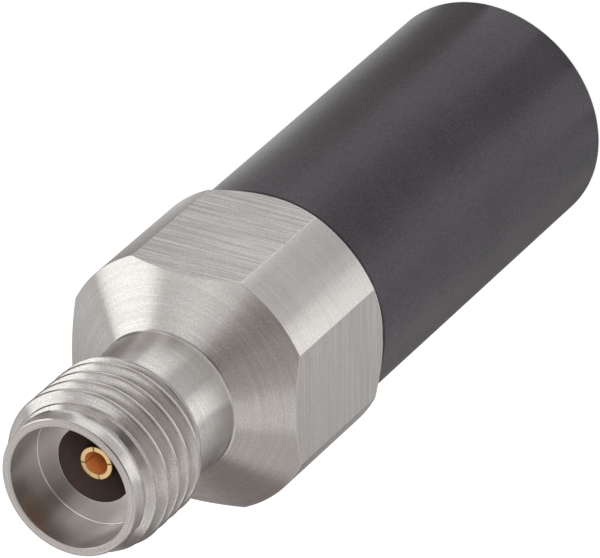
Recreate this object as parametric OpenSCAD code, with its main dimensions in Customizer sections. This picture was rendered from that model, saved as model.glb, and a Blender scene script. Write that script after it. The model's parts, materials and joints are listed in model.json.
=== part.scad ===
// Coaxial mismatch termination: a steel socket with a matched-length load inside a black sleeve.
// It stands on the closed end of its sleeve, the socket up, with its axis on +Z.
// Depths are measured from the front ring, which is the top of the part.

/* [Coupling end] */
// Outer diameter of the coupling thread over its crests
thread_d = 6.25; // [6.1:0.05:6.35]
// Root diameter of the coupling thread
thread_root_d = 5.48; // [5.46:0.02:5.6]
// Advance of the thread in one turn
thread_pitch = 0.7056; // [0.65:0.01:0.75]
// Straight length of the thread between its two chamfers
thread_l = 2.86; // [1.8:0.02:3.4]
// Angle of the run-out behind the thread, from the axis
run_out_angle = 60; // [45:5:75]
// Diameter of the smooth pilot in front of the thread
pilot_d = 5.28; // [5.2:0.02:5.4]
// Length of the pilot
pilot_l = 0.7; // [0.5:0.1:1.4]
// Chamfer around the front ring
ring_chamfer = 0.04; // [0.02:0.02:0.12]
// Diameter of the counterbore that takes the mating part
counterbore_d = 4.62; // [4.4:0.02:4.7]
// Depth of the counterbore, down to the mating plane
counterbore_l = 1.83; // [1.5:0.01:2.4]
// Bore of the outer conductor
line_bore_d = 2.92; // [2.6:0.02:3.2]
// Diameter of the neck behind the thread
neck_d = 5.44; // [5.2:0.02:5.46]
// Length from the front ring to the cone
coupling_l = 6.8; // [6.2:0.1:9]

/* [Steel body] */
// Diameter of the round body
body_d = 10; // [9.7:0.1:11]
// Width across the four wrench flats
flat_w = 9; // [8.6:0.1:9.4]
// Length of the cone between the neck and the body
cone_l = 1.57; // [1.2:0.05:2.4]
// Length of the body behind the cone
body_l = 6.03; // [5:0.1:9]
// Height of the chamfer at the body's rear edge
rear_chamfer = 0.5; // [0.2:0.05:0.6]
// Length of the chamfer along the axis
rear_chamfer_l = 0.6; // [0.2:0.05:0.8]
// Length of the spigot that carries the sleeve
spigot_l = 3; // [2.4:0.1:4.5]

/* [Sleeve] */
// Outer diameter of the sleeve
sleeve_d = 9.1; // [8.8:0.05:9.3]
// Wall of the sleeve
sleeve_wall = 0.65; // [0.5:0.05:0.75]
// Thickness of the closed end
sleeve_end_t = 1.2; // [0.8:0.1:2]
// Edge break around both ends of the sleeve
sleeve_edge = 0.08; // [0.04:0.02:0.2]
// Free length between the load and the closed end
end_gap = 1.9; // [0.5:0.1:5]

/* [Centre contact] */
// Diameter of the centre conductor
contact_d = 1.27; // [1.15:0.01:1.35]
// Bore of the sprung socket
socket_d = 0.86; // [0.76:0.02:0.92]
// Depth of the socket
socket_l = 2.5; // [1.8:0.1:3.5]
// Recess of the contact behind the mating plane
contact_recess = 0.07; // [0.02:0.01:0.2]
// Number of slots that part the socket into fingers
slot_count = 4; // [2:2:6]
// Width of a slot
slot_w = 0.05; // [0.03:0.01:0.12]
// Length of a slot
slot_l = 2.1; // [1.4:0.1:3]
// Turn of the slots from the wrench flats, in degrees
slot_turn = 10; // [0:1:45]

/* [Support bead] */
// Depth of the bead's front face behind the front ring
bead_depth = 7.4; // [6.6:0.1:7.8]
// Outer diameter of the bead
bead_d = 4; // [3.4:0.1:4.4]
// Thickness of the bead
bead_l = 1.5; // [1:0.1:2]
// Diameter of the contact's neck inside the bead
bead_neck_d = 0.9; // [0.8:0.02:1]
// Length of the bush that holds the bead
bush_l = 1.5; // [1:0.1:2]

/* [Load line] */
// Outer diameter of the outer line
outer_line_d = 6.2; // [5.6:0.1:6.4]
// Diameter of the outer line behind its nut
line_tail_d = 4.8; // [4.4:0.1:5]
// Length of straight bore in front of the resistor
straight_l = 1.9; // [1.4:0.1:2.6]
// Bore of the outer line at the resistor's grounded end
taper_end_d = 1.8; // [1.7:0.05:2.4]
// Length of the nut that holds the outer line
nut_l = 1.4; // [1:0.1:2]
// Width of the two spanner slots in the nut
nut_slot_w = 0.8; // [0.5:0.1:1.2]
// Depth of the spanner slots
nut_slot_h = 0.6; // [0.3:0.1:0.8]
// Diameter of the contact's rear pin
joint_pin_d = 0.6; // [0.5:0.02:0.7]
// Length of the contact's rear pin
joint_pin_l = 1.3; // [0.8:0.1:1.4]

/* [Resistor] */
// Diameter of the ceramic rod
rod_d = 1; // [0.8:0.02:1.04]
// Length of the ceramic rod
rod_l = 12; // [9:0.1:15]
// Length of rod held in each end cap
rod_seat_l = 0.6; // [0.4:0.05:0.8]
// Thickness of the end caps' floors
cap_floor = 0.3; // [0.2:0.05:0.5]
// Diameter of the pin on the front cap
cap_pin_d = 0.8; // [0.7:0.02:0.84]
// Length of the pin on the front cap
cap_pin_l = 1.2; // [0.8:0.1:1.3]
// Diameter of the rear cap
rear_cap_d = 1.5; // [1.4:0.02:1.6]

/* [Ground end] */
// Diameter of the chamber for the ground parts
chamber_d = 3.2; // [3:0.1:3.6]
// Thickness of the collet's base
collet_base = 0.5; // [0.3:0.05:0.8]
// Number of slots between the collet's fingers
collet_slots = 6; // [4:2:8]
// Width of a slot in the collet
collet_slot_w = 0.15; // [0.1:0.01:0.25]
// Thickness of a disc spring
spring_t = 0.12; // [0.08:0.01:0.16]
// Height of one disc spring
spring_h = 0.3; // [0.24:0.02:0.4]
// Hole of a disc spring and of the thrust washer
spring_hole_d = 1.2; // [1:0.1:1.6]
// Thickness of the thrust washer
washer_t = 0.3; // [0.2:0.05:0.5]
// Length of the load's closing plug
plug_l = 1.6; // [1.2:0.1:2.2]
// Width of the screwdriver slot in the plug
plug_slot_w = 0.4; // [0.3:0.05:0.6]
// Depth of the screwdriver slot
plug_slot_h = 0.5; // [0.3:0.1:0.7]

/* [Hidden] */
$fn = 96;

// Radial clearance of parts that are fitted into each other
fit = 0.02;
// Length by which a cutting shape runs past the face that it opens
over = 0.5;

// Depths along the axis, from the front ring
contact_front = counterbore_l + contact_recess;
thread_front = pilot_l;
lead_in = (thread_d - pilot_d) / 2;
run_out = (thread_d - neck_d) / 2 / tan(run_out_angle);
crest_front = thread_front + lead_in;
crest_rear = crest_front + thread_l;
cone_front = coupling_l;
body_front = cone_front + cone_l;
body_rear = body_front + body_l;
spigot_rear = body_rear + spigot_l;
bead_rear = bead_depth + bead_l;
line_front = bead_rear + bush_l;
inner_line_rear = line_front + straight_l;
rod_front = inner_line_rear + cap_floor;
rod_rear = rod_front + rod_l;
front_cap_rear = rod_front + rod_seat_l;
rear_cap_front = rod_rear - rod_seat_l;
rear_cap_rear = rod_rear + cap_floor;
chamber_front = rear_cap_front;
collet_rear = rear_cap_rear + collet_base;
springs_mid = collet_rear + spring_h;
springs_rear = springs_mid + spring_h;
washer_rear = springs_rear + washer_t;
plug_rear = washer_rear + plug_l;
nut_front = spigot_rear - nut_l;
total_l = plug_rear + end_gap + sleeve_end_t;

sleeve_bore_d = sleeve_d - 2 * sleeve_wall;
spigot_d = sleeve_bore_d - 2 * fit;

// Half angle of the thread's flanks
flank = 30;
// Steps of the thread in one turn
thread_steps = 32;
// Turns of the groove's cutting shape behind the thread
spare_turns = 0.8;
// Height by which the cutting shape passes the root and the crests
groove_pass = 0.05;
groove_in_r = thread_root_d / 2 - groove_pass;
groove_out_r = thread_d / 2 + groove_pass;
// Width of the crest
crest_w = thread_pitch / 8;
groove_out_w = thread_pitch - crest_w + 2 * (groove_out_r - thread_d / 2) * tan(flank);
groove_in_w = groove_out_w - 2 * (groove_out_r - groove_in_r) * tan(flank);
// Depth of the crest's first turn, measured on the +X side
crest_start = 0.665;

// A solid turned about the axis from pairs of radius and depth.
module turned(points) {
    rotate_extrude()
        polygon([for (p = points) [p[0], total_l - p[1]]]);
}

// A straight round bar between two depths.
module bar(d, front, rear) {
    translate([0, 0, total_l - rear])
        cylinder(d = d, h = rear - front);
}

// A straight tube between two depths.
module tube(d, hole, front, rear) {
    difference() {
        bar(d, front, rear);
        bar(hole, front - over, rear + over);
    }
}

// Slots across the axis between two depths, turned evenly about it.
module cross_slots(count, width, reach, front, rear) {
    for (i = [0 : count / 2 - 1])
        rotate([0, 0, i * 360 / count])
            translate([-reach / 2, -width / 2, total_l - rear])
                cube([reach, width, rear - front]);
}

// The groove between the crests: a trapezoid swept along a right-handed helix.
module thread_groove() {
    start = crest_start - thread_pitch / 2;
    turns = (crest_rear + run_out - start) / thread_pitch + spare_turns;
    count = ceil(turns * thread_steps);
    section = [
        [groove_in_r, -groove_in_w / 2],
        [groove_out_r, -groove_out_w / 2],
        [groove_out_r, groove_out_w / 2],
        [groove_in_r, groove_in_w / 2]];
    corners = len(section);
    points = [for (i = [0 : count]) for (c = section)
        let (a = -i * 360 / thread_steps, z = total_l - start - i * thread_pitch / thread_steps)
        [c[0] * cos(a), c[0] * sin(a), z + c[1]]];
    sides = [for (i = [0 : count - 1]) for (k = [0 : corners - 1])
        let (a = corners * i + k, b = corners * i + (k + 1) % corners)
        each [[a, b + corners, b], [a, a + corners, b + corners]]];
    ends = [
        [for (k = [0 : corners - 1]) k],
        [for (k = [corners - 1 : -1 : 0]) corners * count + k]];
    difference() {
        polyhedron(points = points, faces = concat(sides, ends), convexity = 10);
        bar(thread_root_d, -over, coupling_l);
    }
}

// The turned outside of the steel body with its cone, rear chamfer and spigot.
module body_blank() {
    turned([
        [0, 0],
        [pilot_d / 2 - ring_chamfer, 0],
        [pilot_d / 2, ring_chamfer],
        [pilot_d / 2, thread_front],
        [thread_d / 2, crest_front],
        [thread_d / 2, crest_rear],
        [neck_d / 2, crest_rear + run_out],
        [neck_d / 2, cone_front],
        [body_d / 2, body_front],
        [body_d / 2, body_rear - rear_chamfer_l],
        [body_d / 2 - rear_chamfer, body_rear],
        [spigot_d / 2, body_rear],
        [spigot_d / 2, spigot_rear],
        [0, spigot_rear]]);
}

// The steps of the steel body's bore.
module body_bores() {
    bar(counterbore_d, -over, counterbore_l);
    bar(line_bore_d, counterbore_l - over, bead_depth + over);
    bar(bead_d + 2 * fit, bead_depth, line_front + over);
    bar(outer_line_d + 2 * fit, line_front, spigot_rear + over);
}

// Four milled flats at right angles.
module wrench_flats() {
    for (i = [0 : 3])
        rotate([0, 0, 90 * i])
            translate([flat_w / 2, -body_d / 2, total_l - body_rear])
                cube([body_d / 2, body_d, body_rear]);
}

// The steel body: socket ring, thread, neck, cone, flats and spigot in one piece.
module connector_body() {
    color("silver")
        difference() {
            body_blank();
            body_bores();
            wrench_flats();
            thread_groove();
        }
}

// The gold-plated socket, slotted into fingers, with the neck that the bead grips.
module centre_contact() {
    color("gold")
        difference() {
            union() {
                bar(contact_d, contact_front, bead_depth);
                bar(bead_neck_d, contact_front + socket_l + over, bead_rear);
                bar(joint_pin_d, bead_depth, bead_rear + joint_pin_l);
            }
            bar(socket_d, contact_front - over, contact_front + socket_l);
            rotate([0, 0, slot_turn])
                cross_slots(slot_count, slot_w, 2 * contact_d, contact_front - over, contact_front + slot_l);
        }
}

// The insulating disc that centres the contact.
module support_bead() {
    color("wheat")
        tube(bead_d, bead_neck_d + 2 * fit, bead_depth, bead_rear);
}

// The bush behind the bead, which carries the line's bore on.
module bead_bush() {
    color("goldenrod")
        tube(bead_d, line_bore_d, bead_rear, line_front);
}

// The inner conductor: a hole for the contact's pin and a slotted socket for the resistor.
module inner_line() {
    color("gold")
        difference() {
            bar(contact_d, bead_rear, inner_line_rear);
            bar(joint_pin_d + 2 * fit, bead_rear - over, bead_rear + joint_pin_l + fit);
            bar(cap_pin_d + 2 * fit, inner_line_rear - cap_pin_l - fit, inner_line_rear + over);
            cross_slots(slot_count, slot_w, 2 * contact_d, inner_line_rear - cap_pin_l, inner_line_rear + over);
        }
}

// The ceramic rod that carries the resistive film.
module resistor_rod() {
    color("dimgray")
        bar(rod_d, rod_front, rod_rear);
}

// The resistor's front cap, with the pin that the inner line grips.
module front_cap() {
    color("silver")
        difference() {
            union() {
                bar(contact_d, inner_line_rear, front_cap_rear);
                bar(cap_pin_d, inner_line_rear - cap_pin_l, front_cap_rear);
            }
            bar(rod_d + 2 * fit, rod_front, front_cap_rear + over);
        }
}

// The resistor's rear cap, which the collet grounds.
module rear_cap() {
    color("silver")
        difference() {
            bar(rear_cap_d, rear_cap_front, rear_cap_rear);
            bar(rod_d + 2 * fit, rear_cap_front - over, rod_rear);
        }
}

// The outer conductor around the resistor, whose bore narrows towards the grounded end.
module outer_line() {
    color("goldenrod")
        difference() {
            union() {
                bar(outer_line_d, line_front, nut_front);
                bar(line_tail_d, line_front, plug_rear);
            }
            turned([
                [0, line_front - over],
                [line_bore_d / 2, line_front - over],
                [line_bore_d / 2, inner_line_rear],
                [taper_end_d / 2, chamber_front],
                [chamber_d / 2, chamber_front],
                [chamber_d / 2, plug_rear + over],
                [0, plug_rear + over]]);
        }
}

// The ring nut that holds the outer line in the steel body.
module line_nut() {
    color("silver")
        difference() {
            tube(outer_line_d, line_tail_d + 2 * fit, nut_front, spigot_rear);
            cross_slots(2, nut_slot_w, 2 * outer_line_d, spigot_rear - nut_slot_h, spigot_rear + over);
        }
}

// The slotted cup whose fingers close on the rear cap.
module ground_collet() {
    color("gold")
        difference() {
            bar(chamber_d - 2 * fit, chamber_front, collet_rear);
            bar(rear_cap_d + 2 * fit, chamber_front - over, rear_cap_rear);
            cross_slots(collet_slots, collet_slot_w, 2 * chamber_d, chamber_front - over, rear_cap_rear);
        }
}

// One disc spring between two depths, its rim on the side that is given first.
module disc_spring(rim, hub) {
    turn = rim < hub ? 1 : -1;
    color("lightsteelblue")
        turned([
            [chamber_d / 2 - 2 * fit, rim],
            [chamber_d / 2 - 2 * fit, rim + turn * spring_t],
            [spring_hole_d / 2, hub],
            [spring_hole_d / 2, hub - turn * spring_t]]);
}

// The disc spring on the collet, its rim to the rear.
module front_disc_spring() {
    disc_spring(springs_mid, collet_rear);
}

// The disc spring on the washer, its rim to the front.
module rear_disc_spring() {
    disc_spring(springs_mid, springs_rear);
}

// The washer between the springs and the plug.
module thrust_washer() {
    color("silver")
        tube(chamber_d - 2 * fit, spring_hole_d, springs_rear, washer_rear);
}

// The plug that closes the load and presses the springs.
module load_plug() {
    color("goldenrod")
        difference() {
            bar(chamber_d - 2 * fit, washer_rear, plug_rear);
            cross_slots(2, plug_slot_w, 2 * chamber_d, plug_rear - plug_slot_h, plug_rear + over);
        }
}

// The black sleeve: a cup over the load, pushed on the spigot.
module sleeve() {
    color("dimgray")
        difference() {
            turned([
                [0, body_rear],
                [sleeve_d / 2 - sleeve_edge, body_rear],
                [sleeve_d / 2, body_rear + sleeve_edge],
                [sleeve_d / 2, total_l - sleeve_edge],
                [sleeve_d / 2 - sleeve_edge, total_l],
                [0, total_l]]);
            bar(sleeve_bore_d, body_rear - over, total_l - sleeve_end_t);
        }
}

connector_body();
centre_contact();
support_bead();
bead_bush();
inner_line();
resistor_rod();
front_cap();
rear_cap();
outer_line();
line_nut();
ground_collet();
front_disc_spring();
rear_disc_spring();
thrust_washer();
load_plug();
sleeve();
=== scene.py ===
"""Dresses the packed mismatch termination: steel socket body, gold contact and black sleeve.

The file is laid out as an add-on and is run as a script. Depths are measured from the front
ring, which is the top of the part. Lengths are in metres, in the frame of the CAD, where nothing
else is said.
"""
import json
import math
from collections import namedtuple

import bmesh
import bpy
import numpy as np
from bpy.props import FloatProperty, FloatVectorProperty, IntProperty, PointerProperty
from mathutils import Matrix, Vector


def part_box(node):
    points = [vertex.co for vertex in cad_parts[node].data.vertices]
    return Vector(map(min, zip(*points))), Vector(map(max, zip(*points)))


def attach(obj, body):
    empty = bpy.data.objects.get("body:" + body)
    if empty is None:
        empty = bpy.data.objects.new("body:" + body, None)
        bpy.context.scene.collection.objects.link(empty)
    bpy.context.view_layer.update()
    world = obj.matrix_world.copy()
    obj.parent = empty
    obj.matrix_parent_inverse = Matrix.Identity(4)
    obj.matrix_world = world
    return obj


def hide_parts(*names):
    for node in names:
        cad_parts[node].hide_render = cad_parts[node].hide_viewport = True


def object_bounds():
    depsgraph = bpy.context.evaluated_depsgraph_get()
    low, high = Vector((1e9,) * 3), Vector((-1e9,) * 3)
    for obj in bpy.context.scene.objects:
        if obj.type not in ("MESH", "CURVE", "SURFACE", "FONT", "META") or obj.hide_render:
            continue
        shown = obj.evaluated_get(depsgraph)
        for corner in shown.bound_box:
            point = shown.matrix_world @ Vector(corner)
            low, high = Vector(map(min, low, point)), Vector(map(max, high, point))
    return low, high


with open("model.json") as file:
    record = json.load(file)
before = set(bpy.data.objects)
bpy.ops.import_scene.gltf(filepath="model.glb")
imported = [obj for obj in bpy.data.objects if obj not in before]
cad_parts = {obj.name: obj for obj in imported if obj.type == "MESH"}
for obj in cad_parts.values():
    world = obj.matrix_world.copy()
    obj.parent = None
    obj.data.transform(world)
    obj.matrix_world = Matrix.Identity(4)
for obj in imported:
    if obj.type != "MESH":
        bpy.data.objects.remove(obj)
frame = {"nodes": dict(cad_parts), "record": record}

bl_info = {
    "name": "Mismatch termination",
    "version": (1, 0, 0),
    "blender": (4, 5, 0),
    "location": "View3D > Sidebar > Termination",
    "description": "Builds the pieces, the finishes and the studio of a coaxial termination",
    "category": "Object",
}

MM = 0.001
TAU = 2 * math.pi
CAD_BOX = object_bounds()
TOP = CAD_BOX[1].z
MOUNTS = {mount["name"]: mount for mount in frame["record"]["mounts"]}
COLOURS = {row["slot"]: row["base_color"] for row in frame["record"]["materials"]}


def depth_of(node, end):
    """Depth of a CAD node's front (1) or rear (0) end behind the front ring."""
    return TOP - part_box(node)[end].z


def mount_size(name, size):
    """A mount's size from the record."""
    return MOUNTS[name]["dims"][size] * MM


def length(name, description, default):
    """A length that a user may change, with its default in metres."""
    return FloatProperty(
        name=name, description=description, default=default, min=0, precision=6, unit="LENGTH")


def share(name, description, default, highest=1.0):
    """A plain number from 0 up to its highest value."""
    return FloatProperty(
        name=name, description=description, default=default, min=0, max=highest, subtype="FACTOR")


def angle(name, description, degrees):
    """An angle with its default in degrees."""
    return FloatProperty(
        name=name, description=description, default=math.radians(degrees), unit="ROTATION")


def colour(name, description, default):
    """A colour with its default as three linear values."""
    return FloatVectorProperty(
        name=name, description=description, default=default, size=3, min=0, max=1,
        subtype="COLOR")


def vector(name, description, default, kind):
    """Three numbers that give a place or a direction."""
    return FloatVectorProperty(
        name=name, description=description, default=default, size=3, subtype=kind)


def power(name, description, default):
    """A lamp's power in watts."""
    return FloatProperty(
        name=name, description=description, default=default, min=0, unit="POWER")


def whole(name, description, default, lowest, highest):
    """A whole number between two limits."""
    return IntProperty(
        name=name, description=description, default=default, min=lowest, max=highest)


# Sizes and looks.


class BodySizes(bpy.types.PropertyGroup):
    """Sizes of the steel body."""
    bore_r: length("Counterbore radius", "Bore that takes the mating part",
                   mount_size("counterbore", "r_mm"))
    bore_l: length("Counterbore depth", "Down to the mating plane",
                   mount_size("counterbore", "length_mm"))
    line_r: length("Line radius", "Bore of the outer conductor", 1.46 * MM)
    pilot_r: length("Pilot radius", "Smooth ring in front of the thread", 2.64 * MM)
    ring_break: length("Ring chamfer", "Chamfer around the front ring", 0.04 * MM)
    neck_r: length("Neck radius", "Neck behind the thread", 2.72 * MM)
    cone_front: length("Cone front", "Depth at which the cone leaves the neck", 6.8 * MM)
    cone_l: length("Cone length", "Length of the cone along the axis", 1.57 * MM)
    body_r: length("Body radius", "Round body", 5.0 * MM)
    flat_h: length("Flat height", "Distance of a wrench flat from the axis",
                   MOUNTS["wrench_flat_px"]["pos_m"][0])
    body_rear: length("Body rear", "Depth of the body's rear edge", depth_of("sleeve", 1))
    chamfer_h: length("Rear chamfer height", "Radial height of the rear chamfer", 0.5 * MM)
    chamfer_l: length("Rear chamfer length", "Length of the rear chamfer", 0.6 * MM)
    spigot_r: length("Spigot radius", "Spigot inside the sleeve", 3.88 * MM)
    spigot_rear: length("Spigot rear", "Depth of the spigot's end",
                        depth_of("connector_body", 0))
    seat_r: length("Bead seat radius", "Seat of the bead and its bush", 2.02 * MM)
    chamber_r: length("Chamber radius", "Bore that takes the load line", 3.12 * MM)
    neck_fillet: length("Neck fillet", "Height over which neck and cone blend", 0.1 * MM)
    edge: length("Edge rounding", "Radius of a broken edge", 0.035 * MM)
    crease: length("Crease rounding", "Height over which two outside faces blend", 0.006 * MM)
    flat_crease: length("Flat edge rounding", "Height over which a flat and the round side blend",
                        0.008 * MM)
    columns: whole("Columns", "Faces around the axis", 240, 48, 480)


class ThreadForm(bpy.types.PropertyGroup):
    """Form of the coupling thread."""
    major_r: length("Major radius", "Radius of the crests",
                    mount_size("coupling_thread", "r_mm"))
    root_r: length("Root radius", "Radius of the groove's bottom", 2.74 * MM)
    pitch: length("Pitch", "Advance in one turn, right-handed", 0.7056 * MM)
    flank: angle("Flank angle", "Angle of a flank from the radius", 30)
    crest_w: length("Crest width", "Flat on top of the thread", 0.105 * MM)
    first_crest: length("First crest", "Depth of the first crest on the +X side", 0.665 * MM)
    front: length("Thread front", "Depth at which the lead-in chamfer starts", 0.7 * MM)
    rear: length("Thread rear", "Depth at which the run-out meets the neck", 4.279 * MM)
    run_out: angle("Run-out angle", "Angle of the run-out from the axis", 60)
    chamfer_blend: length("Chamfer blend", "Height over which both chamfers' edges round",
                          0.01 * MM)
    front_blend: length("Front crest blend", "Height over which a crest's front edge rounds",
                        0.23 * MM)
    rear_blend: length("Rear crest blend", "Height over which a crest's rear edge rounds",
                       0.02 * MM)
    root_blend: length("Root blend", "Height over which the groove's bottom rounds", 0.05 * MM)


class ContactSizes(bpy.types.PropertyGroup):
    """Sizes of the centre contact."""
    outer_r: length("Contact radius", "Centre conductor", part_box("centre_contact")[1].x)
    socket_r: length("Socket radius", "Bore between the fingers",
                     mount_size("contact_socket", "r_mm"))
    socket_l: length("Socket depth", "Depth of the bore",
                     mount_size("contact_socket", "length_mm"))
    front: length("Contact front", "Depth of the finger tips", depth_of("centre_contact", 1))
    rear: length("Contact rear", "Depth of the pin's end", depth_of("centre_contact", 0))
    fingers: whole("Fingers", "Fingers around the socket", 4, 2, 8)
    slot_w: length("Slot width", "Gap between two fingers", 0.03 * MM)
    slot_rear_w: length("Inner slot width", "Gap behind the rounded tips", 0.005 * MM)
    slot_l: length("Slot length", "Length of a gap", 2.1 * MM)
    slot_turn: angle("Slot turn", "Turn of the gaps from the wrench flats", 10)
    bead_front: length("Bead front", "Depth of the bead", depth_of("support_bead", 1))
    bead_rear: length("Bead rear", "Depth of the bead's back", depth_of("support_bead", 0))
    bead_neck_r: length("Bead neck radius", "Neck inside the bead", 0.45 * MM)
    pin_r: length("Pin radius", "Pin behind the bead", 0.3 * MM)
    tip: length("Tip rounding", "Rounding of a finger's tip", 0.035 * MM)
    shoulder: length("Shoulder rounding", "Rounding in front of the bead", 0.03 * MM)
    pin_edge: length("Pin rounding", "Rounding of the pin's end", 0.05 * MM)


class SleeveSizes(bpy.types.PropertyGroup):
    """Sizes of the black sleeve."""
    outer_r: length("Sleeve radius", "Outside of the sleeve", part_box("sleeve")[1].x)
    front: length("Sleeve front", "Depth of the open end", depth_of("sleeve", 1))
    wall: length("Wall", "Thickness of the wall", 0.65 * MM)
    end_t: length("End thickness", "Thickness of the closed end", 1.2 * MM)
    edge: length("Edge rounding", "Rounding of the two outer edges", 0.08 * MM)
    rim: length("Rim rounding", "Rounding of the open end's inner edge", 0.03 * MM)
    corner: length("Corner rounding", "Rounding of the inner corner", 0.15 * MM)


class FinishLooks(bpy.types.PropertyGroup):
    """Colours and roughness of the finishes."""
    steel: colour("Steel", "Stainless steel", COLOURS["stainless_steel"])
    steel_dark: share("Steel mark shade", "Brightness between the turned marks", 0.8)
    milled_dark: share("Milled mark shade", "Brightness between the milled marks", 0.64)
    turned_roughness: share("Turned roughness", "Roughness of the turned steel", 0.2)
    bored_roughness: share("Bored roughness", "Roughness of the counterbore", 0.235)
    milled_roughness: share("Milled roughness", "Roughness of the milled flats", 0.38)
    turned_spread: share("Turned spread", "How far turned marks spread a reflection", 0.95)
    milled_spread: share("Milled spread", "How far milled marks spread a reflection", 0.4)
    # Painted highlight: a steel colour raised well above the steel's own, for the bright line in
    # the counterbore's corner.
    corner_highlight_colour: colour("Burnished steel", "Bright line in a bored corner", (0.94, 0.92, 0.9))
    corner_highlight_roughness: share("Burnished roughness", "Roughness of that line", 0.16)
    # Painted shade and painted light: the dim matt colour of the narrow bore and how much lighter
    # it is painted inwards.
    line_bore: colour("Line bore", "Dim steel inside the narrow bore", (0.14, 0.1, 0.083))
    line_lift: share("Line bore lift", "How much lighter that bore grows inwards", 2.8, 5.0)
    gold: colour("Gold", "Gold plating", COLOURS["gold_plating"])
    gold_roughness: share("Gold roughness", "Roughness of the gold plating", 0.2)
    gold_spread: share("Gold spread", "How far the plating spreads a reflection", 0.2)
    # Painted reflection: the orange that stands for the gold's reflections inside the socket.
    deep_gold: colour("Deep gold", "Gold deepened by its own reflections in the socket",
                      (1.0, 0.41, 0.11))
    anodised: colour("Black anodising", "Dyed oxide on the sleeve", (0.0235, 0.0195, 0.024))
    anodised_roughness: share("Anodised roughness", "Roughness of the sleeve", 0.36)
    anodised_marks: share("Anodised marks", "Share of turning marks in its grain", 0.15)
    anodised_grain: length("Anodised grain", "Height of its grain", 0.0042 * MM)


class StageLook(bpy.types.PropertyGroup):
    """Camera, floor and lamps."""
    camera_place: vector("Camera place", "Where the camera stands",
                         (159.618 * MM, -141.492 * MM, 267.412 * MM), "TRANSLATION")
    camera_view: vector("Camera direction", "Where the camera looks",
                        (-0.48213, 0.42775, -0.76458), "DIRECTION")
    camera_up: vector("Camera up", "What is up in the picture",
                      (0.87601, 0.223, -0.42764), "DIRECTION")
    lens: FloatProperty(name="Lens", description="Focal length in mm on a 36 mm sensor",
                        default=556.351, min=1)
    floor_size: length("Floor size", "Side of the floor", 2.0)
    floor_drop: length("Floor drop", "Gap under the part, so that the two faces stay apart",
                       0.01 * MM)
    floor_cool: share("Floor coolness", "How soon a lighter place loses its warm tint", 1.8, 5.0)
    wall_cool: share("Wall coolness", "The same for the surround's walls", 1.15, 5.0)
    floor_glow: share("Floor glow", "Share of the floor's white that is its own", 0.8)
    floor_lit: share("Floor lit", "Share of its white that the lamps light", 0.35)
    plain_light: share("Plain light", "Strength of the even light", 0.75, 2.0)
    lamp_distance: length("Lamp distance", "From the part's middle to each lamp", 0.45)
    key_light: power("Key lamp", "Lamp at the picture's left", 0.1)
    fill_light: power("Fill lamp", "Lamp at the picture's lower right", 0.03)
    back_light: power("Back lamp", "Lamp on the far side of the part", 0.038)
    front_light: power("Front lamp", "Lamp near the camera that lights the narrow bores", 0.4)


GROUPS = {
    "termination_body": BodySizes,
    "termination_thread": ThreadForm,
    "termination_contact": ContactSizes,
    "termination_sleeve": SleeveSizes,
    "termination_finish": FinishLooks,
    "termination_stage": StageLook,
}


# Node trees.


class Graph:
    """Writes a node tree: most calls add nodes, fill their inputs and return an output."""

    def __init__(self, tree):
        self.tree = tree

    def node(self, kind, inputs=None, **settings):
        made = self.tree.nodes.new(kind)
        for name, value in settings.items():
            setattr(made, name, value)
        self.fill(made, inputs or {})
        return made

    def fill(self, node, inputs):
        """Links or sets the inputs of a node."""
        for key, value in inputs.items():
            if isinstance(value, bpy.types.NodeSocket):
                self.tree.links.new(value, node.inputs[key])
            else:
                node.inputs[key].default_value = value

    def math(self, operation, *values):
        inputs = dict(enumerate(values))
        return self.node("ShaderNodeMath", inputs, operation=operation).outputs[0]

    def split(self, vector):
        return self.node("ShaderNodeSeparateXYZ", {0: vector}).outputs

    def join(self, x, y, z):
        return self.node("ShaderNodeCombineXYZ", {0: x, 1: y, 2: z}).outputs[0]

    def radius(self, x, y):
        squares = self.math("MULTIPLY_ADD", x, x, self.math("MULTIPLY", y, y))
        return self.math("SQRT", squares)

    def noise(self, vector, scale=1.0, detail=2.0, roughness=0.5):
        return self.node("ShaderNodeTexNoise", {
            "Vector": vector, "Scale": scale, "Detail": detail,
            "Roughness": roughness}).outputs[0]

    def remap(self, value, low, high, to_low, to_high):
        return self.node("ShaderNodeMapRange", {
            "Value": value, "From Min": low, "From Max": high,
            "To Min": to_low, "To Max": to_high}).outputs[0]

    def weigh(self, first, second, share):
        """A share of the first value and the rest of the second."""
        rest = self.math("MULTIPLY", second, 1.0 - share)
        return self.math("MULTIPLY_ADD", first, share, rest)

    def swing(self, value, borders, middle, share):
        """Falls from a share above a middle level to the same share below it."""
        return self.remap(value, *borders, middle * (1 + share), middle * (1 - share))

    def mix(self, factor, first, second):
        return self.node("ShaderNodeMix", {0: factor, 2: first, 3: second}).outputs[0]

    def mix_colour(self, factor, first, second):
        return self.node("ShaderNodeMix", {0: factor, 6: first, 7: second},
                         data_type="RGBA").outputs[2]

    def scale_colour(self, rgb, factor):
        return self.node("ShaderNodeVectorMath", {0: rgb, 3: factor},
                         operation="SCALE").outputs[0]

    def bump(self, height, distance):
        return self.node("ShaderNodeBump", {
            "Strength": 1.0, "Distance": distance, "Height": height}).outputs[0]

    def marked(self, name):
        return self.node("GeometryNodeInputNamedAttribute", {"Name": name},
                         data_type="BOOLEAN").outputs["Attribute"]

    def realize(self, mesh):
        return self.node("GeometryNodeRealizeInstances", {0: mesh}).outputs[0]

    def finish(self, mesh, material, selection=True):
        return self.node("GeometryNodeSetMaterial", {
            "Geometry": mesh, "Selection": selection, "Material": material}).outputs[0]


def opaque(rgb, level=1.0):
    """A colour as four values, with its brightness times a level."""
    return (*[channel * level for channel in rgb], 1.0)


def fresh_graph(owner):
    """The empty node tree of a new material or world."""
    owner.use_nodes = True
    owner.node_tree.nodes.clear()
    return Graph(owner.node_tree)


SOCKETS = {float: "NodeSocketFloat", int: "NodeSocketInt",
           bpy.types.Material: "NodeSocketMaterial"}


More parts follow.
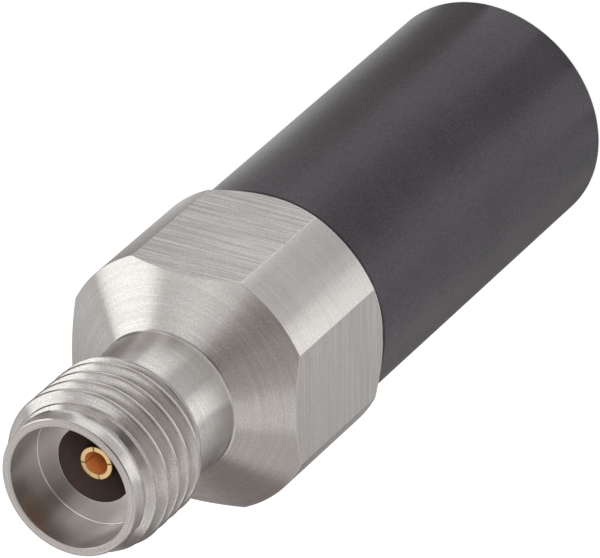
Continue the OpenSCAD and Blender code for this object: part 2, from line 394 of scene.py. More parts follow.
def shape_tree(name, values):
    """An empty Geometry Nodes tree that takes and gives a mesh, with an input for each value."""
    tree = bpy.data.node_groups.new(name, "GeometryNodeTree")
    tree.interface.new_socket("Mesh", in_out="INPUT", socket_type="NodeSocketGeometry")
    tree.interface.new_socket("Mesh", in_out="OUTPUT", socket_type="NodeSocketGeometry")
    for label, value in values.items():
        tree.interface.new_socket(label, in_out="INPUT", socket_type=SOCKETS[type(value)])
    graph = Graph(tree)
    given = graph.node("NodeGroupInput").outputs
    return graph, given


def end_tree(graph, mesh):
    """Joins the last mesh of a Geometry Nodes tree to its output."""
    graph.node("NodeGroupOutput", {0: mesh})


def settle(piece, tree, values):
    """Runs a tree on a piece and keeps its result as the piece's plain mesh."""
    modifier = piece.modifiers.new(tree.name, "NODES")
    modifier.node_group = tree
    for item in tree.interface.items_tree:
        if item.in_out == "INPUT" and item.name in values:
            modifier[item.identifier] = values[item.name]
    graph = bpy.context.evaluated_depsgraph_get()
    made = bpy.data.meshes.new_from_object(piece.evaluated_get(graph))
    piece.modifiers.remove(modifier)
    before, piece.data = piece.data, made
    bpy.data.meshes.remove(before)
    made.name = piece.name


# Meshes.


ARC_STEPS = 4
LONGEST_ARC = 0.45
LONGEST_HOLD = 0.04


def rounded_path(corners, closed=False):
    """Points (depth, radius) along straight lines through corners, with rounded corners.

    A corner is (depth, radius, rounding). Each arc gets a holding point before and after it,
    so that the shading of the long faces stays even. An arc and its holding point take up at
    most a share of the lines beside them.
    """
    path = []
    count = len(corners)
    for i, (depth, radius, rounding) in enumerate(corners):
        here = np.array([depth, radius])
        inner = closed or 0 < i < count - 1
        if not (rounding and inner):
            path.append(here)
            continue
        before = np.array(corners[i - 1][:2]) - here
        after = np.array(corners[(i + 1) % count][:2]) - here
        before_l, after_l = np.linalg.norm(before), np.linalg.norm(after)
        before, after = before / before_l, after / after_l
        half = math.acos(max(-1.0, min(1.0, float(before @ after)))) / 2
        shorter = min(before_l, after_l)
        reach = min(rounding / math.tan(half), LONGEST_ARC * shorter)
        arc_r = reach * math.tan(half)
        middle = here + (before + after) / np.linalg.norm(before + after) * arc_r / math.sin(half)
        first, last = here + before * reach, here + after * reach
        hold = min(rounding, LONGEST_HOLD * shorter)
        path.append(first + before * hold)
        for step in range(ARC_STEPS + 1):
            point = first + (last - first) * step / ARC_STEPS - middle
            path.append(middle + point / np.linalg.norm(point) * arc_r)
        path.append(last + after * hold)
    return [tuple(point) for point in path]


def smooth_min(a, b, blend):
    """The smaller of two heights, rounded where they meet."""
    near = np.maximum(blend - np.abs(a - b), 0) / blend
    return np.minimum(a, b) - near * near * blend / 4


def smooth_max(a, b, blend):
    """The larger of two heights, rounded where they meet."""
    return -smooth_min(-a, -b, blend)


SAME_PLACE = 2e-4 * MM


def mesh_piece(name, points, faces, flags=None):
    """A smooth-shaded piece with merged doubles and faces that point outwards.

    flags are named on/off marks of its points or faces, as (domain, values).
    """
    mesh = bpy.data.meshes.new(name)
    mesh.from_pydata(points.tolist(), [], faces)
    for flag, (domain, values) in (flags or {}).items():
        mesh.attributes.new(flag, "BOOLEAN", domain).data.foreach_set("value", values)
    shell = bmesh.new()
    shell.from_mesh(mesh)
    bmesh.ops.remove_doubles(shell, verts=shell.verts, dist=SAME_PLACE)
    bmesh.ops.recalc_face_normals(shell, faces=shell.faces)
    for face in shell.faces:
        face.smooth = True
    shell.to_mesh(mesh)
    shell.free()
    piece = bpy.data.objects.new(name, mesh)
    bpy.context.scene.collection.objects.link(piece)
    return piece


def turned_piece(name, rows, angles, closed=False, capped=False, row_flags=None,
                 face_flags=None):
    """A piece turned about the axis from rows of (depth, radius), which may vary round it.

    The angles may differ from row to row. closed joins the last row to the first, and capped
    covers the first and the last column.
    """
    count, width = len(rows), angles.shape[-1]
    depth, radius = (np.array([np.broadcast_to(row[i], width) for row in rows]) for i in (0, 1))
    points = np.stack([radius * np.cos(angles), radius * np.sin(angles), TOP - depth], -1)
    faces = []
    for i in range(count if closed else count - 1):
        here, there = i * width, (i + 1) % count * width
        faces += [(here + j, here + j + 1, there + j + 1, there + j) for j in range(width - 1)]
    if capped:
        faces += [list(range(column, count * width, width)) for column in (0, width - 1)]
    flags = {flag: ("POINT", np.repeat(values, width))
             for flag, values in (row_flags or {}).items()}
    flags.update({flag: ("FACE", values.ravel()) for flag, values in (face_flags or {}).items()})
    return mesh_piece(name, points.reshape(-1, 3), faces, flags)


def full_turn(columns):
    """Angles round the axis, the last one meeting the first."""
    return np.linspace(0, TAU, columns + 1)


def hand_over(piece, nodes):
    """Gives a finished piece its place in the frame and hides the CAD nodes that it stands for."""
    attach(piece, "root")
    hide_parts(*nodes)


# Finishes.


# Cells in a metre of the noise that makes the grain and the cloudy tone of the metals.
GRAIN_SCALE = 15000.0
CLOUD_SCALE = 800.0
# Noise lies about 0.5, and nearly all of it lies inside these borders.
NOISE_SPAN = (0.3, 0.7)


def finish_tree(name):
    """A new material: its graph, its shader and its coordinates in the part's frame."""
    material = bpy.data.materials.new(name)
    graph = fresh_graph(material)
    shader = graph.node("ShaderNodeBsdfPrincipled")
    graph.node("ShaderNodeOutputMaterial", {0: shader.outputs[0]})
    place = graph.node("ShaderNodeTexCoord").outputs["Object"]
    return material, graph, shader, place


def tool_marks(graph, place, across, pitch, reach):
    """Fine marks left by a tool: close together across its travel and long along it.

    across is the coordinate across the travel, pitch the marks' spacing and reach their length.
    """
    x, y, _ = graph.split(place)
    vector = graph.join(
        graph.math("DIVIDE", x, reach), graph.math("DIVIDE", y, reach),
        graph.math("DIVIDE", across, pitch))
    return graph.noise(vector, detail=3.0, roughness=0.6)


# The marks of a tool: their spacing, length and depth, the shade of the ground between the bright
# lines, the two levels of the marks' pattern from which and up to which a line brightens, the
# share of coarse marks among the fine ones, and the strength of the fine grain.
Marks = namedtuple("Marks", "pitch reach depth shade low high coarse grain",
                   defaults=(0.35, 0.75, 0.3, 0.72))
COARSE_PITCH = 4
COARSE_REACH = 3
CLOUD_SHARE = 0.25
QUARTER_TURN = 0.25
# Tones of the darkest and the brightest line on the Y pair of wrench flats. Those of the X pair
# are 0 and 1. The difference is painted light: the lines are painted fainter on the Y pair, where
# the light catches them less.
Y_PAIR_PAINTED_TONES = (0.2, 0.68)


def machined_metal(name, rgb, roughness, spread, marks, flat=False):
    """Metal with tool marks round the axis, or across it on a flat milled face.

    On flat faces the marks of the Y pair are painted fainter than those of the X pair: painted
    light, for the light catches the two pairs differently.
    """
    material, graph, shader, place = finish_tree(name)
    x, y, z = graph.split(place)
    across = z if flat else graph.math("SUBTRACT", graph.radius(x, y), z)
    fine = tool_marks(graph, place, across, marks.pitch, marks.reach)
    coarse = tool_marks(graph, place, across, marks.pitch * COARSE_PITCH,
                        marks.reach * COARSE_REACH)
    relief = graph.weigh(coarse, fine, marks.coarse)
    cloud = graph.noise(place, scale=CLOUD_SCALE, detail=3.0)
    grain = graph.noise(place, scale=GRAIN_SCALE)
    level_grain = graph.math("SUBTRACT", grain, (1 + CLOUD_SHARE) / 2)
    uneven = graph.math("MULTIPLY_ADD", cloud, CLOUD_SHARE, level_grain)
    depth = graph.math("MULTIPLY_ADD", uneven, marks.grain, relief)
    tone = graph.remap(depth, marks.low, marks.high, 0.0, 1.0)
    if flat:
        # Painted light: the Y pair's lines are painted fainter than the X pair's.
        x_pair = graph.math("GREATER_THAN", graph.math("ABSOLUTE", x), graph.math("ABSOLUTE", y))
        tone = graph.mix(x_pair, graph.remap(tone, 0.0, 1.0, *Y_PAIR_PAINTED_TONES), tone)
    graph.fill(shader, {
        "Base Color": graph.mix_colour(tone, opaque(rgb, marks.shade), opaque(rgb)),
        "Roughness": graph.swing(depth, (0.3, 0.8), roughness, 0.15),
        "Metallic": 1.0,
        "Anisotropic": spread,
        "Anisotropic Rotation": QUARTER_TURN,
        "Tangent": graph.node("ShaderNodeTangent", direction_type="RADIAL", axis="Z").outputs[0],
        "Normal": graph.bump(relief, marks.depth)})
    return material


def paint(piece, finish, inside):
    """Gives a finish to the faces whose middle, as (radius, depth), passes the test."""
    piece.data.materials.append(finish)
    for face in piece.data.polygons:
        x, y, z = face.center
        if inside(math.hypot(x, y), TOP - z):
            face.material_index = len(piece.data.materials) - 1


def turned_steel(looks):
    """Stainless steel with fine turning marks round the axis."""
    return machined_metal(
        "turned_steel", looks.steel, looks.turned_roughness, looks.turned_spread,
        Marks(pitch=0.05 * MM, reach=2.4 * MM, depth=0.0012 * MM, shade=looks.steel_dark))


def bored_steel(looks):
    """Smooth bored stainless steel."""
    return machined_metal(
        "bored_steel", looks.steel, looks.bored_roughness, looks.turned_spread,
        Marks(pitch=0.06 * MM, reach=3.0 * MM, depth=0.0003 * MM, shade=0.92, grain=0.3))


def burnished_steel(looks):
    """Bright line in the bored corner of the counterbore: a smooth rounded corner, with a painted
    highlight in its colour, raised well above the steel's.
    """
    return machined_metal(
        "burnished_steel", looks.corner_highlight_colour, looks.corner_highlight_roughness, 0.0,
        Marks(pitch=0.06 * MM, reach=3.0 * MM, depth=0.0002 * MM, shade=0.95, grain=0.2))


# Length over which the painted light in a bore grows to its full lift.
LIFT_L = 3 * MM


def painted_bore_light(name, rgb, front, lift=1.0):
    """A matt colour painted on metal deep in a narrow bore: painted shade, with the tint of its
    many reflections painted in as well.

    Behind the depth front the colour is painted lighter, up to the factor lift: painted light
    that grows inwards.
    """
    material, graph, shader, place = finish_tree(name)
    grain = graph.noise(place, scale=16000.0)
    depth = graph.math("SUBTRACT", TOP, graph.split(place)[2])
    lifted = graph.remap(depth, front, front + LIFT_L, 1.0, lift)
    level = graph.math("MULTIPLY", lifted, graph.remap(grain, *NOISE_SPAN, 0.85, 1.15))
    graph.fill(shader, {
        "Base Color": graph.scale_colour(rgb, level),
        "Roughness": graph.swing(grain, NOISE_SPAN, 0.5, 0.1)})
    return material


def milled_steel(looks):
    """Stainless steel with the straight bright lines of the milled flats."""
    return machined_metal(
        "milled_steel", looks.steel, looks.milled_roughness, looks.milled_spread,
        Marks(pitch=0.042 * MM, reach=3.6 * MM, depth=0.0016 * MM, shade=looks.milled_dark,
              low=0.4, high=0.63, coarse=0.06, grain=0.3), flat=True)


def gold_plate(looks):
    """Gold plating over a turned contact."""
    return machined_metal(
        "gold_plate", looks.gold, looks.gold_roughness, looks.gold_spread,
        Marks(pitch=0.04 * MM, reach=1.0 * MM, depth=0.0004 * MM, shade=0.93, grain=0.3))


def plain_metal(name, rgb, roughness):
    """A turned inner part of another metal."""
    return machined_metal(
        name, rgb, roughness, 0.5,
        Marks(pitch=0.06 * MM, reach=1.6 * MM, depth=0.001 * MM, shade=0.86))


def black_anodising(looks):
    """Dyed oxide on turned aluminium: satin, with a fine grain and very faint turning marks."""
    material, graph, shader, place = finish_tree("black_anodising")
    x, y, z = graph.split(place)
    across = graph.math("SUBTRACT", graph.radius(x, y), z)
    marks = tool_marks(graph, place, across, pitch=0.09 * MM, reach=3.0 * MM)
    grain = graph.noise(place, scale=14000.0)
    cloud = graph.noise(place, scale=320.0, detail=3.0)
    depth = graph.weigh(marks, grain, looks.anodised_marks)
    tone = graph.remap(graph.weigh(cloud, depth, CLOUD_SHARE), 0.4, 0.6, 0.0, 1.0)
    dark, light = (opaque(looks.anodised, level) for level in (0.4, 1.65))
    graph.fill(shader, {
        "Base Color": graph.mix_colour(tone, dark, light),
        "Specular Tint": (1.0, 0.95, 1.0, 1.0),
        "Roughness": graph.swing(depth, NOISE_SPAN, looks.anodised_roughness, 0.1),
        "Normal": graph.bump(depth, looks.anodised_grain)})
    return material


def moulded_insulator(name, rgb, grain_scale, roughness, glow):
    """A polymer or ceramic: fine grain, cloudy colour and a little light inside it."""
    material, graph, shader, place = finish_tree(name)
    grain = graph.noise(place, scale=grain_scale, detail=4.0, roughness=0.6)
    cloud = graph.noise(place, scale=900.0, detail=3.0)
    tone = graph.remap(cloud, 0.35, 0.65, 0.0, 1.0)
    graph.fill(shader, {
        "Base Color": graph.mix_colour(tone, opaque(rgb, 0.85), opaque(rgb)),
        "Roughness": graph.swing(grain, NOISE_SPAN, roughness, 0.15),
        "Subsurface Weight": glow,
        "Subsurface Scale": 0.3 * MM,
        "Normal": graph.bump(grain, 0.0012 * MM)})
    return material


# The steel body.


FLATS = 4
# Steps in degrees from a flat's side edge to the columns beside it.
EDGE_COLUMNS = (-1.6, -0.9, -0.5, -0.25, 0, 0.25, 0.5, 0.9, 1.6)
LEAST_TURN = math.radians(0.5)


def flat_edge(sizes):
    """Half of the angle that a wrench flat takes up round the axis."""
    return math.acos(sizes.flat_h / sizes.body_r)


def from_flat(angles):
    """Angle of each column from the middle of its nearest wrench flat."""
    turn = TAU / FLATS
    return (angles + turn / 2) % turn - turn / 2


def body_angles(sizes):
    """Columns of the body: evenly spaced, with close ones along the flats' side edges."""
    edges = [middle + side * flat_edge(sizes) for middle in full_turn(FLATS) for side in (-1, 1)]
    close = np.array([edge + step for edge in edges for step in np.radians(EDGE_COLUMNS)])
    close = close[(close > 0) & (close < TAU)]
    even = full_turn(sizes.columns)
    apart = np.abs(even[:, None] - close[None, :]).min(axis=1) > LEAST_TURN
    apart[0] = apart[-1] = True
    return np.sort(np.concatenate([even[apart], close]))


PILOT_ROW = 0.3 * MM


def bore_rows(sizes):
    """The inside, from the spigot's end forwards, and the front ring up to the pilot."""
    seat = depth_of("support_bead", 1)
    chamber = depth_of("outer_line", 1)
    edge, fine = sizes.edge, sizes.edge / 2
    return rounded_path([
        (sizes.spigot_rear, sizes.chamber_r, 0),
        (chamber, sizes.chamber_r, 0),
        (chamber, sizes.seat_r, 0),
        (seat, sizes.seat_r, 0),
        (seat, sizes.line_r, 0),
        (sizes.bore_l, sizes.line_r, fine),
        (sizes.bore_l, sizes.bore_r, edge),
        (0.0, sizes.bore_r, edge),
        (0.0, sizes.pilot_r - sizes.ring_break, fine),
        (sizes.ring_break, sizes.pilot_r, fine),
        (sizes.ring_break + PILOT_ROW, sizes.pilot_r, 0)])


FLANK_ROWS = 5
EDGE_GAP = 0.012 * MM


def thread_rows(sizes, thread, angles):
    """Rows that follow the helix from the lead-in to the run-out, still on the pilot's radius.

    The rows of one turn lie on the crest, beside its edges, on the flanks and on the root, so
    that the thread's own edges run along them.
    """
    half_pitch, crest = thread.pitch / 2, thread.crest_w / 2
    root = crest + (thread.major_r - thread.root_r) * math.tan(thread.flank)
    gap = EDGE_GAP
    flank = np.linspace(crest + 2.5 * gap, root - 3 * gap, FLANK_ROWS)
    half = [0, crest - gap, crest, crest + gap, *flank, root - gap, root + gap, root + 3 * gap]
    turn = half + [half_pitch] + [thread.pitch - x for x in reversed(half[1:])]
    start = thread.first_crest - thread.pitch * math.ceil(
        (thread.first_crest - thread.front) / thread.pitch + 1)
    turns = math.ceil((thread.rear - start) / thread.pitch + 1)
    depths = [start + thread.pitch * i + x for i in range(turns) for x in turn]
    rise = thread.pitch * angles / TAU
    return [(np.clip(depth - rise, thread.front, thread.rear), sizes.pilot_r)
            for depth in depths]


# Depths of the rows on the neck, the numbers of rows on the fillet, the cone and the side, the
# steps from the two creases to the rows beside them, how far the fillet's rows reach, in fillet
# heights, the span by which the rear rows share a short chamfer, and the nearest that the rows
# of the long faces come to the creases.
NECK_ROWS = (4.5 * MM, 5.2 * MM, 6.0 * MM, 6.6 * MM)
FILLET_ROWS, CONE_ROWS, SIDE_ROWS = 13, 9, 7
CREASE_ROWS = (-0.05 * MM, -0.02 * MM, -0.007 * MM, 0, 0.007 * MM, 0.02 * MM, 0.05 * MM)
REAR_ROWS = (-0.04 * MM, -0.02 * MM, 0, 0.02 * MM, 0.04 * MM)
FILLET_SPAN = 1.1
REAR_SPAN = 0.2 * MM
CREASE_GAP = 0.08 * MM
REAR_GAP = 0.06 * MM


def neck_rows(sizes, side):
    """Neck, cone, flats or round side, and the rear chamfer; side is the radius of each column.

    Where the chamfer is short, its rows share the room behind the crease.
    """
    slope = (sizes.body_r - sizes.neck_r) / sizes.cone_l
    chamfer_slope = sizes.chamfer_h / sizes.chamfer_l
    cross = sizes.cone_front + (side - sizes.neck_r) / slope
    rear_cross = sizes.body_rear - sizes.chamfer_l + (sizes.body_r - side) / chamfer_slope
    room = sizes.body_rear - rear_cross

    def cone_r(depth):
        return sizes.neck_r + (depth - sizes.cone_front) * slope

    def chamfer_r(depth):
        return sizes.body_r - (depth - sizes.body_rear + sizes.chamfer_l) * chamfer_slope

    rows = [(depth, sizes.neck_r) for depth in NECK_ROWS]
    for step in np.linspace(-FILLET_SPAN, FILLET_SPAN, FILLET_ROWS):
        depth = sizes.cone_front + step * sizes.neck_fillet / slope
        rows.append((depth, smooth_max(sizes.neck_r, cone_r(depth), sizes.neck_fillet)))
    first = sizes.cone_front + sizes.neck_fillet
    for depth in np.linspace(first * np.ones_like(cross), cross - CREASE_GAP, CONE_ROWS):
        rows.append((depth, cone_r(depth)))
    for step in CREASE_ROWS:
        rows.append((cross + step, smooth_min(cone_r(cross + step), side, sizes.crease)))
    flat_start = len(rows) - 1
    for depth in np.linspace(cross + CREASE_GAP, rear_cross - REAR_GAP, SIDE_ROWS):
        rows.append((depth, side))
    flat_end = len(rows) - 1
    for step in REAR_ROWS:
        reach = 0.5 + step / REAR_SPAN
        depth = rear_cross + np.minimum(step, room * reach)
        rows.append((depth, smooth_min(side, chamfer_r(depth), sizes.crease)))
    rows.append((np.full_like(side, sizes.body_rear),
                 smooth_min(side, chamfer_r(sizes.body_rear), sizes.crease)))
    return rows, flat_start, flat_end


def cut_thread(piece, values):
    """Cuts the coupling thread: each marked point moves to the radius that the helix gives it."""
    graph, given = shape_tree("coupling_thread", values)
    place = graph.node("GeometryNodeInputPosition").outputs[0]
    x, y, z = graph.split(place)
    depth = graph.math("SUBTRACT", given["Part top"], z)
    turn = graph.math("DIVIDE", graph.math("ARCTAN2", y, x), TAU)
    pitches = graph.math(
        "DIVIDE", graph.math("SUBTRACT", depth, given["First crest"]), given["Pitch"])
    phase = graph.math("FRACT", graph.math("ADD", graph.math("ADD", pitches, turn), 0.5))
    behind = graph.math("MULTIPLY", graph.math("SUBTRACT", phase, 0.5), given["Pitch"])
    half_crest = graph.math("DIVIDE", given["Crest width"], 2.0)
    form = given["Major radius"]
    for side, blend in (("ADD", "Front crest blend"), ("SUBTRACT", "Rear crest blend")):
        inside = graph.math(side, half_crest, behind)
        flank = graph.math("MULTIPLY_ADD", inside, given["Flank slope"], given["Major radius"])
        form = graph.math("SMOOTH_MIN", form, flank, given[blend])
    form = graph.math("SMOOTH_MAX", form, given["Root radius"], given["Root blend"])
    lead_in = graph.math(
        "ADD", given["Pilot radius"], graph.math("SUBTRACT", depth, given["Thread front"]))
    run_out = graph.math(
        "MULTIPLY_ADD", graph.math("SUBTRACT", given["Thread rear"], depth),
        given["Run-out slope"], given["Neck radius"])
    form = graph.math("SMOOTH_MIN", form, lead_in, given["Chamfer blend"])
    form = graph.math("SMOOTH_MIN", form, run_out, given["Chamfer blend"])
    scale = graph.math("DIVIDE", form, graph.radius(x, y))
    target = graph.join(graph.math("MULTIPLY", x, scale), graph.math("MULTIPLY", y, scale), z)
    cut = graph.node("GeometryNodeSetPosition", {
        "Geometry": given["Mesh"], "Selection": graph.marked("threaded"),
        "Position": target}).outputs[0]
    turned = graph.finish(graph.realize(cut), given["Turned finish"])
    end_tree(graph, graph.finish(turned, given["Milled finish"], graph.marked("milled")))
    settle(piece, graph.tree, values)


class TERMINATION_OT_body(bpy.types.Operator):
    """Build the steel body with its socket ring, thread, neck, cone and wrench flats"""
    bl_idname = "termination.body"
    bl_label = "Steel body"

    def execute(self, context):
        sizes, thread = context.scene.termination_body, context.scene.termination_thread
        looks = context.scene.termination_finish
        angles = body_angles(sizes)
        offset = from_flat(angles)
        side = smooth_min(sizes.body_r, sizes.flat_h / np.cos(offset), sizes.flat_crease)
        bore = bore_rows(sizes)
        helix = thread_rows(sizes, thread, angles)
        neck, flat_start, flat_end = neck_rows(sizes, side)
        spigot = [(sizes.body_rear, sizes.spigot_r), (sizes.spigot_rear, sizes.spigot_r)]
        rows = bore + helix + neck + spigot
        threaded = np.zeros(len(rows), bool)
        ahead = len(bore) + len(helix)
        threaded[len(bore):ahead] = True
        milled = np.zeros((len(rows), len(angles) - 1), bool)
        middle = from_flat((angles[1:] + angles[:-1]) / 2)
        milled[ahead + flat_start:ahead + flat_end] = np.abs(middle) < flat_edge(sizes)
        piece = turned_piece("steel_body", rows, angles, closed=True,
                             row_flags={"threaded": threaded}, face_flags={"milled": milled})
        cut_thread(piece, {
            "Part top": TOP, "Major radius": thread.major_r, "Root radius": thread.root_r,
            "Pitch": thread.pitch, "Flank slope": 1 / math.tan(thread.flank),
            "Crest width": thread.crest_w, "First crest": thread.first_crest,
            "Thread front": thread.front, "Thread rear": thread.rear,
            "Run-out slope": math.tan(thread.run_out),
            "Pilot radius": sizes.pilot_r, "Neck radius": sizes.neck_r,
            "Front crest blend": thread.front_blend, "Rear crest blend": thread.rear_blend,
            "Root blend": thread.root_blend, "Chamfer blend": thread.chamfer_blend,
            "Turned finish": turned_steel(looks), "Milled finish": milled_steel(looks)})
        paint(piece, bored_steel(looks), lambda radius, depth: (
            radius < sizes.bore_r + sizes.edge / 4 and depth > sizes.edge))
        # Painted highlight on the counterbore's corner fillet.
        paint(piece, burnished_steel(looks), lambda radius, depth: (
            sizes.bore_r - sizes.edge < radius < sizes.bore_r
            and sizes.bore_l - sizes.edge < depth < sizes.bore_l))
        # Painted shade: the narrow line bore gets a dim matt brown that is painted lighter
        # inwards, in place of the steel's own shading.
        narrow = painted_bore_light("line_bore", looks.line_bore, sizes.bore_l, looks.line_lift)
        paint(piece, narrow, lambda radius, depth: (
            radius < sizes.seat_r and depth > sizes.bore_l + sizes.edge))
        hand_over(piece, ["connector_body"])
        return {"FINISHED"}


# The centre contact.


FINGER_COLUMNS = 24
ROD_COLUMNS = 96
# How far the wide gap between two finger tips reaches, in roundings of a tip.
TIP_SPAN = 1.5


def finger_mesh(sizes):
    """One finger of the socket, between two gaps that narrow behind its tip, as a closed shell."""
    rear = sizes.front + sizes.slot_l
    outline = rounded_path([
        (rear, sizes.outer_r, 0), (sizes.front, sizes.outer_r, sizes.tip),
        (sizes.front, sizes.socket_r, sizes.tip), (rear, sizes.socket_r, 0)], closed=True)
    angles = []
    for depth, radius in outline:
        at_tip = depth < sizes.front + TIP_SPAN * sizes.tip
        gap = math.asin((sizes.slot_w if at_tip else sizes.slot_rear_w) / 2 / radius)
        angles.append(np.linspace(gap, TAU / sizes.fingers - gap, FINGER_COLUMNS + 1))
    return turned_piece("socket_contact", outline, np.array(angles), closed=True, capped=True)


def repeat_finger(piece, values):
    """Repeats a finger round the axis."""
    graph, given = shape_tree("socket_fingers", values)
    places = graph.node("GeometryNodeMeshLine", {"Count": given["Fingers"]})
    graph.tree.links.new(graph.join(0.0, 0.0, 0.0), places.inputs["Offset"])
    index = graph.node("GeometryNodeInputIndex").outputs[0]
    step = graph.math("DIVIDE", TAU, given["Fingers"])
    turn = graph.math("MULTIPLY_ADD", index, step, given["Turn"])
    spread = graph.node("GeometryNodeInstanceOnPoints", {
        "Points": places.outputs[0], "Instance": given["Mesh"],
        "Rotation": graph.join(0.0, 0.0, turn)}).outputs[0]
    end_tree(graph, graph.finish(graph.realize(spread), given["Finish"]))
    settle(piece, graph.tree, values)


class TERMINATION_OT_contact(bpy.types.Operator):
    """Build the gold-plated centre contact with its sprung fingers"""
    bl_idname = "termination.contact"
    bl_label = "Centre contact"

    def execute(self, context):
        sizes = context.scene.termination_contact
        looks = context.scene.termination_finish
        finish = gold_plate(looks)
        piece = finger_mesh(sizes)
        repeat_finger(piece, {
            "Fingers": sizes.fingers, "Turn": sizes.slot_turn, "Finish": finish})
        root = sizes.front + sizes.slot_l
        floor = sizes.front + sizes.socket_l
        rod = turned_piece("contact_rod", rounded_path([
            (floor, 0, 0), (floor, sizes.socket_r, 0), (root, sizes.socket_r, 0),
            (root, sizes.outer_r, 0), (sizes.bead_front, sizes.outer_r, sizes.shoulder),
            (sizes.bead_front, sizes.bead_neck_r, 0), (sizes.bead_rear, sizes.bead_neck_r, 0),
            (sizes.bead_rear, sizes.pin_r, 0), (sizes.rear, sizes.pin_r, sizes.pin_edge),
            (sizes.rear, 0, 0)]), full_turn(ROD_COLUMNS))
        rod.data.materials.append(finish)
        with context.temp_override(active_object=piece, selected_editable_objects=[piece, rod]):
            bpy.ops.object.join()
        # Painted reflection: the socket's inside gets a bright orange matt colour in place of the
        # gold's reflections in it.
        deep = painted_bore_light("socket_gold", looks.deep_gold, sizes.front)
        paint(piece, deep, lambda radius, depth: (
            radius < sizes.socket_r + sizes.tip / 4
            and sizes.front + sizes.tip < depth < floor + sizes.tip))
        hand_over(piece, ["centre_contact"])
        return {"FINISHED"}


# The sleeve.


SLEEVE_COLUMNS = 240


class TERMINATION_OT_sleeve(bpy.types.Operator):
    """Build the black sleeve, a cup with a closed end and rounded edges"""
    bl_idname = "termination.sleeve"
    bl_label = "Black sleeve"

    def execute(self, context):
        sizes = context.scene.termination_sleeve
        inner_r = sizes.outer_r - sizes.wall
        floor = TOP - sizes.end_t
        piece = turned_piece("black_sleeve", rounded_path([
            (floor, 0, 0), (floor, inner_r, sizes.corner), (sizes.front, inner_r, sizes.rim),
            (sizes.front, sizes.outer_r, sizes.edge), (TOP, sizes.outer_r, sizes.edge),
            (TOP, 0, 0)]), full_turn(SLEEVE_COLUMNS))
        piece.data.materials.append(black_anodising(context.scene.termination_finish))
        hand_over(piece, ["sleeve"])
        return {"FINISHED"}


# The inner parts.


class TERMINATION_OT_inner_parts(bpy.types.Operator):
    """Give the CAD solids inside the part their finishes"""
    bl_idname = "termination.inner_parts"
    bl_label = "Inner parts"

    def execute(self, context):
        looks = context.scene.termination_finish
        brass = plain_metal("line_brass", COLOURS["line_brass"], roughness=0.3)
        silver = plain_metal("cap_silver", COLOURS["cap_silver"], roughness=0.22)
        spring = plain_metal("spring_steel", COLOURS["spring_steel"], roughness=0.35)
        nut = plain_metal("nut_steel", COLOURS["stainless_steel"], roughness=0.3)
        gold = plain_metal("line_gold", looks.gold, roughness=0.24)
        polymer = moulded_insulator("bead_polymer", COLOURS["bead_polymer"],
                                    grain_scale=9000.0, roughness=0.4, glow=0.3)
        ceramic = moulded_insulator("resistor_ceramic", COLOURS["resistor_ceramic"],
                                    grain_scale=16000.0, roughness=0.6, glow=0.0)
        finishes = {
            "support_bead": polymer, "bead_bush": brass, "inner_line": gold,
            "resistor_rod": ceramic, "front_cap": silver, "rear_cap": silver,
            "outer_line": brass, "line_nut": nut, "ground_collet": gold,
            "front_disc_spring": spring, "rear_disc_spring": spring,
            "thrust_washer": nut, "load_plug": brass}
        for name, finish in finishes.items():
            node = frame["nodes"][name]
            if not node.material_slots:
                node.data.materials.append(finish)
            for slot in node.material_slots:
                slot.material = finish
        return {"FINISHED"}


# The studio.


def camera_side(look):
    """Direction of the camera round the axis."""
    return math.atan2(look.camera_place[1], look.camera_place[0])


# A white or dark card of the surround. sides are its borders round the part, in degrees from the
# camera's side. reach is its height in degrees above the horizon or, on the floor, its distance
# from the axis in mm. soft are the widths of its borders in the same two measures. On the floor
# the sides are the directions in which the sleeve mirrors a place, so that a border there shows
# as a straight line along the part. A card covers those before it, and the last one on the floor
# is the even floor under the part.
Card = namedtuple("Card", "sides reach level soft")

FLOOR_GROUND = 0.42
FLOOR_CARDS = (
    Card((-200, -136), (0, 70), 0.30, (24, 4)),
    Card((-126, -92), (0, 70), 0.54, (24, 4)),
    Card((-92, -60), (0, 70), 0.72, (24, 4)),
    Card((-60, -16), (0, 70), 1.00, (8, 4)),
    Card((-58, -28), (22, 70), 1.30, (8, 3)),
    Card((-16, 24), (0, 70), 0.62, (12, 4)),
    Card((24, 77), (0, 70), 1.00, (9, 4)),
    Card((-60, -4), (16.5, 22.5), 1.00, (8, 3)),
    Card((-18, 30), (16.5, 22.5), 0.53, (44, 3)),
    Card((14, 38), (10, 16.5), 0.66, (10, 2)),
    Card((14, 38), (16.5, 24), 0.58, (10, 2)),
    Card((38, 80), (22.5, 26), 1.42, (8, 2)),
    Card((77, 108), (15, 22.5), 0.72, (8, 3)),
    Card((77, 108), (22.5, 25.5), 0.92, (8, 2)),
    Card((-165, -112), (21, 26), 0.22, (14, 3)),
    Card((-165, -112), (26, 70), 0.36, (14, 3)),
    Card((112, 158), (21.5, 70), 0.27, (10, 3)),
    Card((-122, -72), (14, 21.5), 0.72, (12, 3)),
    Card((-170, -138), (15, 21), 0.40, (12, 3)),
    Card((140, 200), (15, 21), 0.66, (12, 3)),
    Card((128, 200), (9.5, 16), 1.20, (20, 3)),
    Card((130, 200), (3, 9.5), 0.92, (20, 3)),
    Card((-60, 45), (45, 110), 1.00, (16, 10)),
    Card((-102, -60), (70, 300), 0.34, (12, 10)),
    Card((-150, -102), (70, 300), 0.08, (12, 10)),
    Card((99, 130), (70, 300), 0.04, (8, 10)),
    Card((60, 99), (70, 300), 1.10, (12, 10)),
    Card((130, 180), (70, 300), 0.55, (8, 10)),
    Card((-60, 60), (125, 1000), 0.15, (16, 20)),
    Card((-400, 400), (-10, 4), 0.60, (10, 0.5)),
)
WALL_GROUND = 0.5
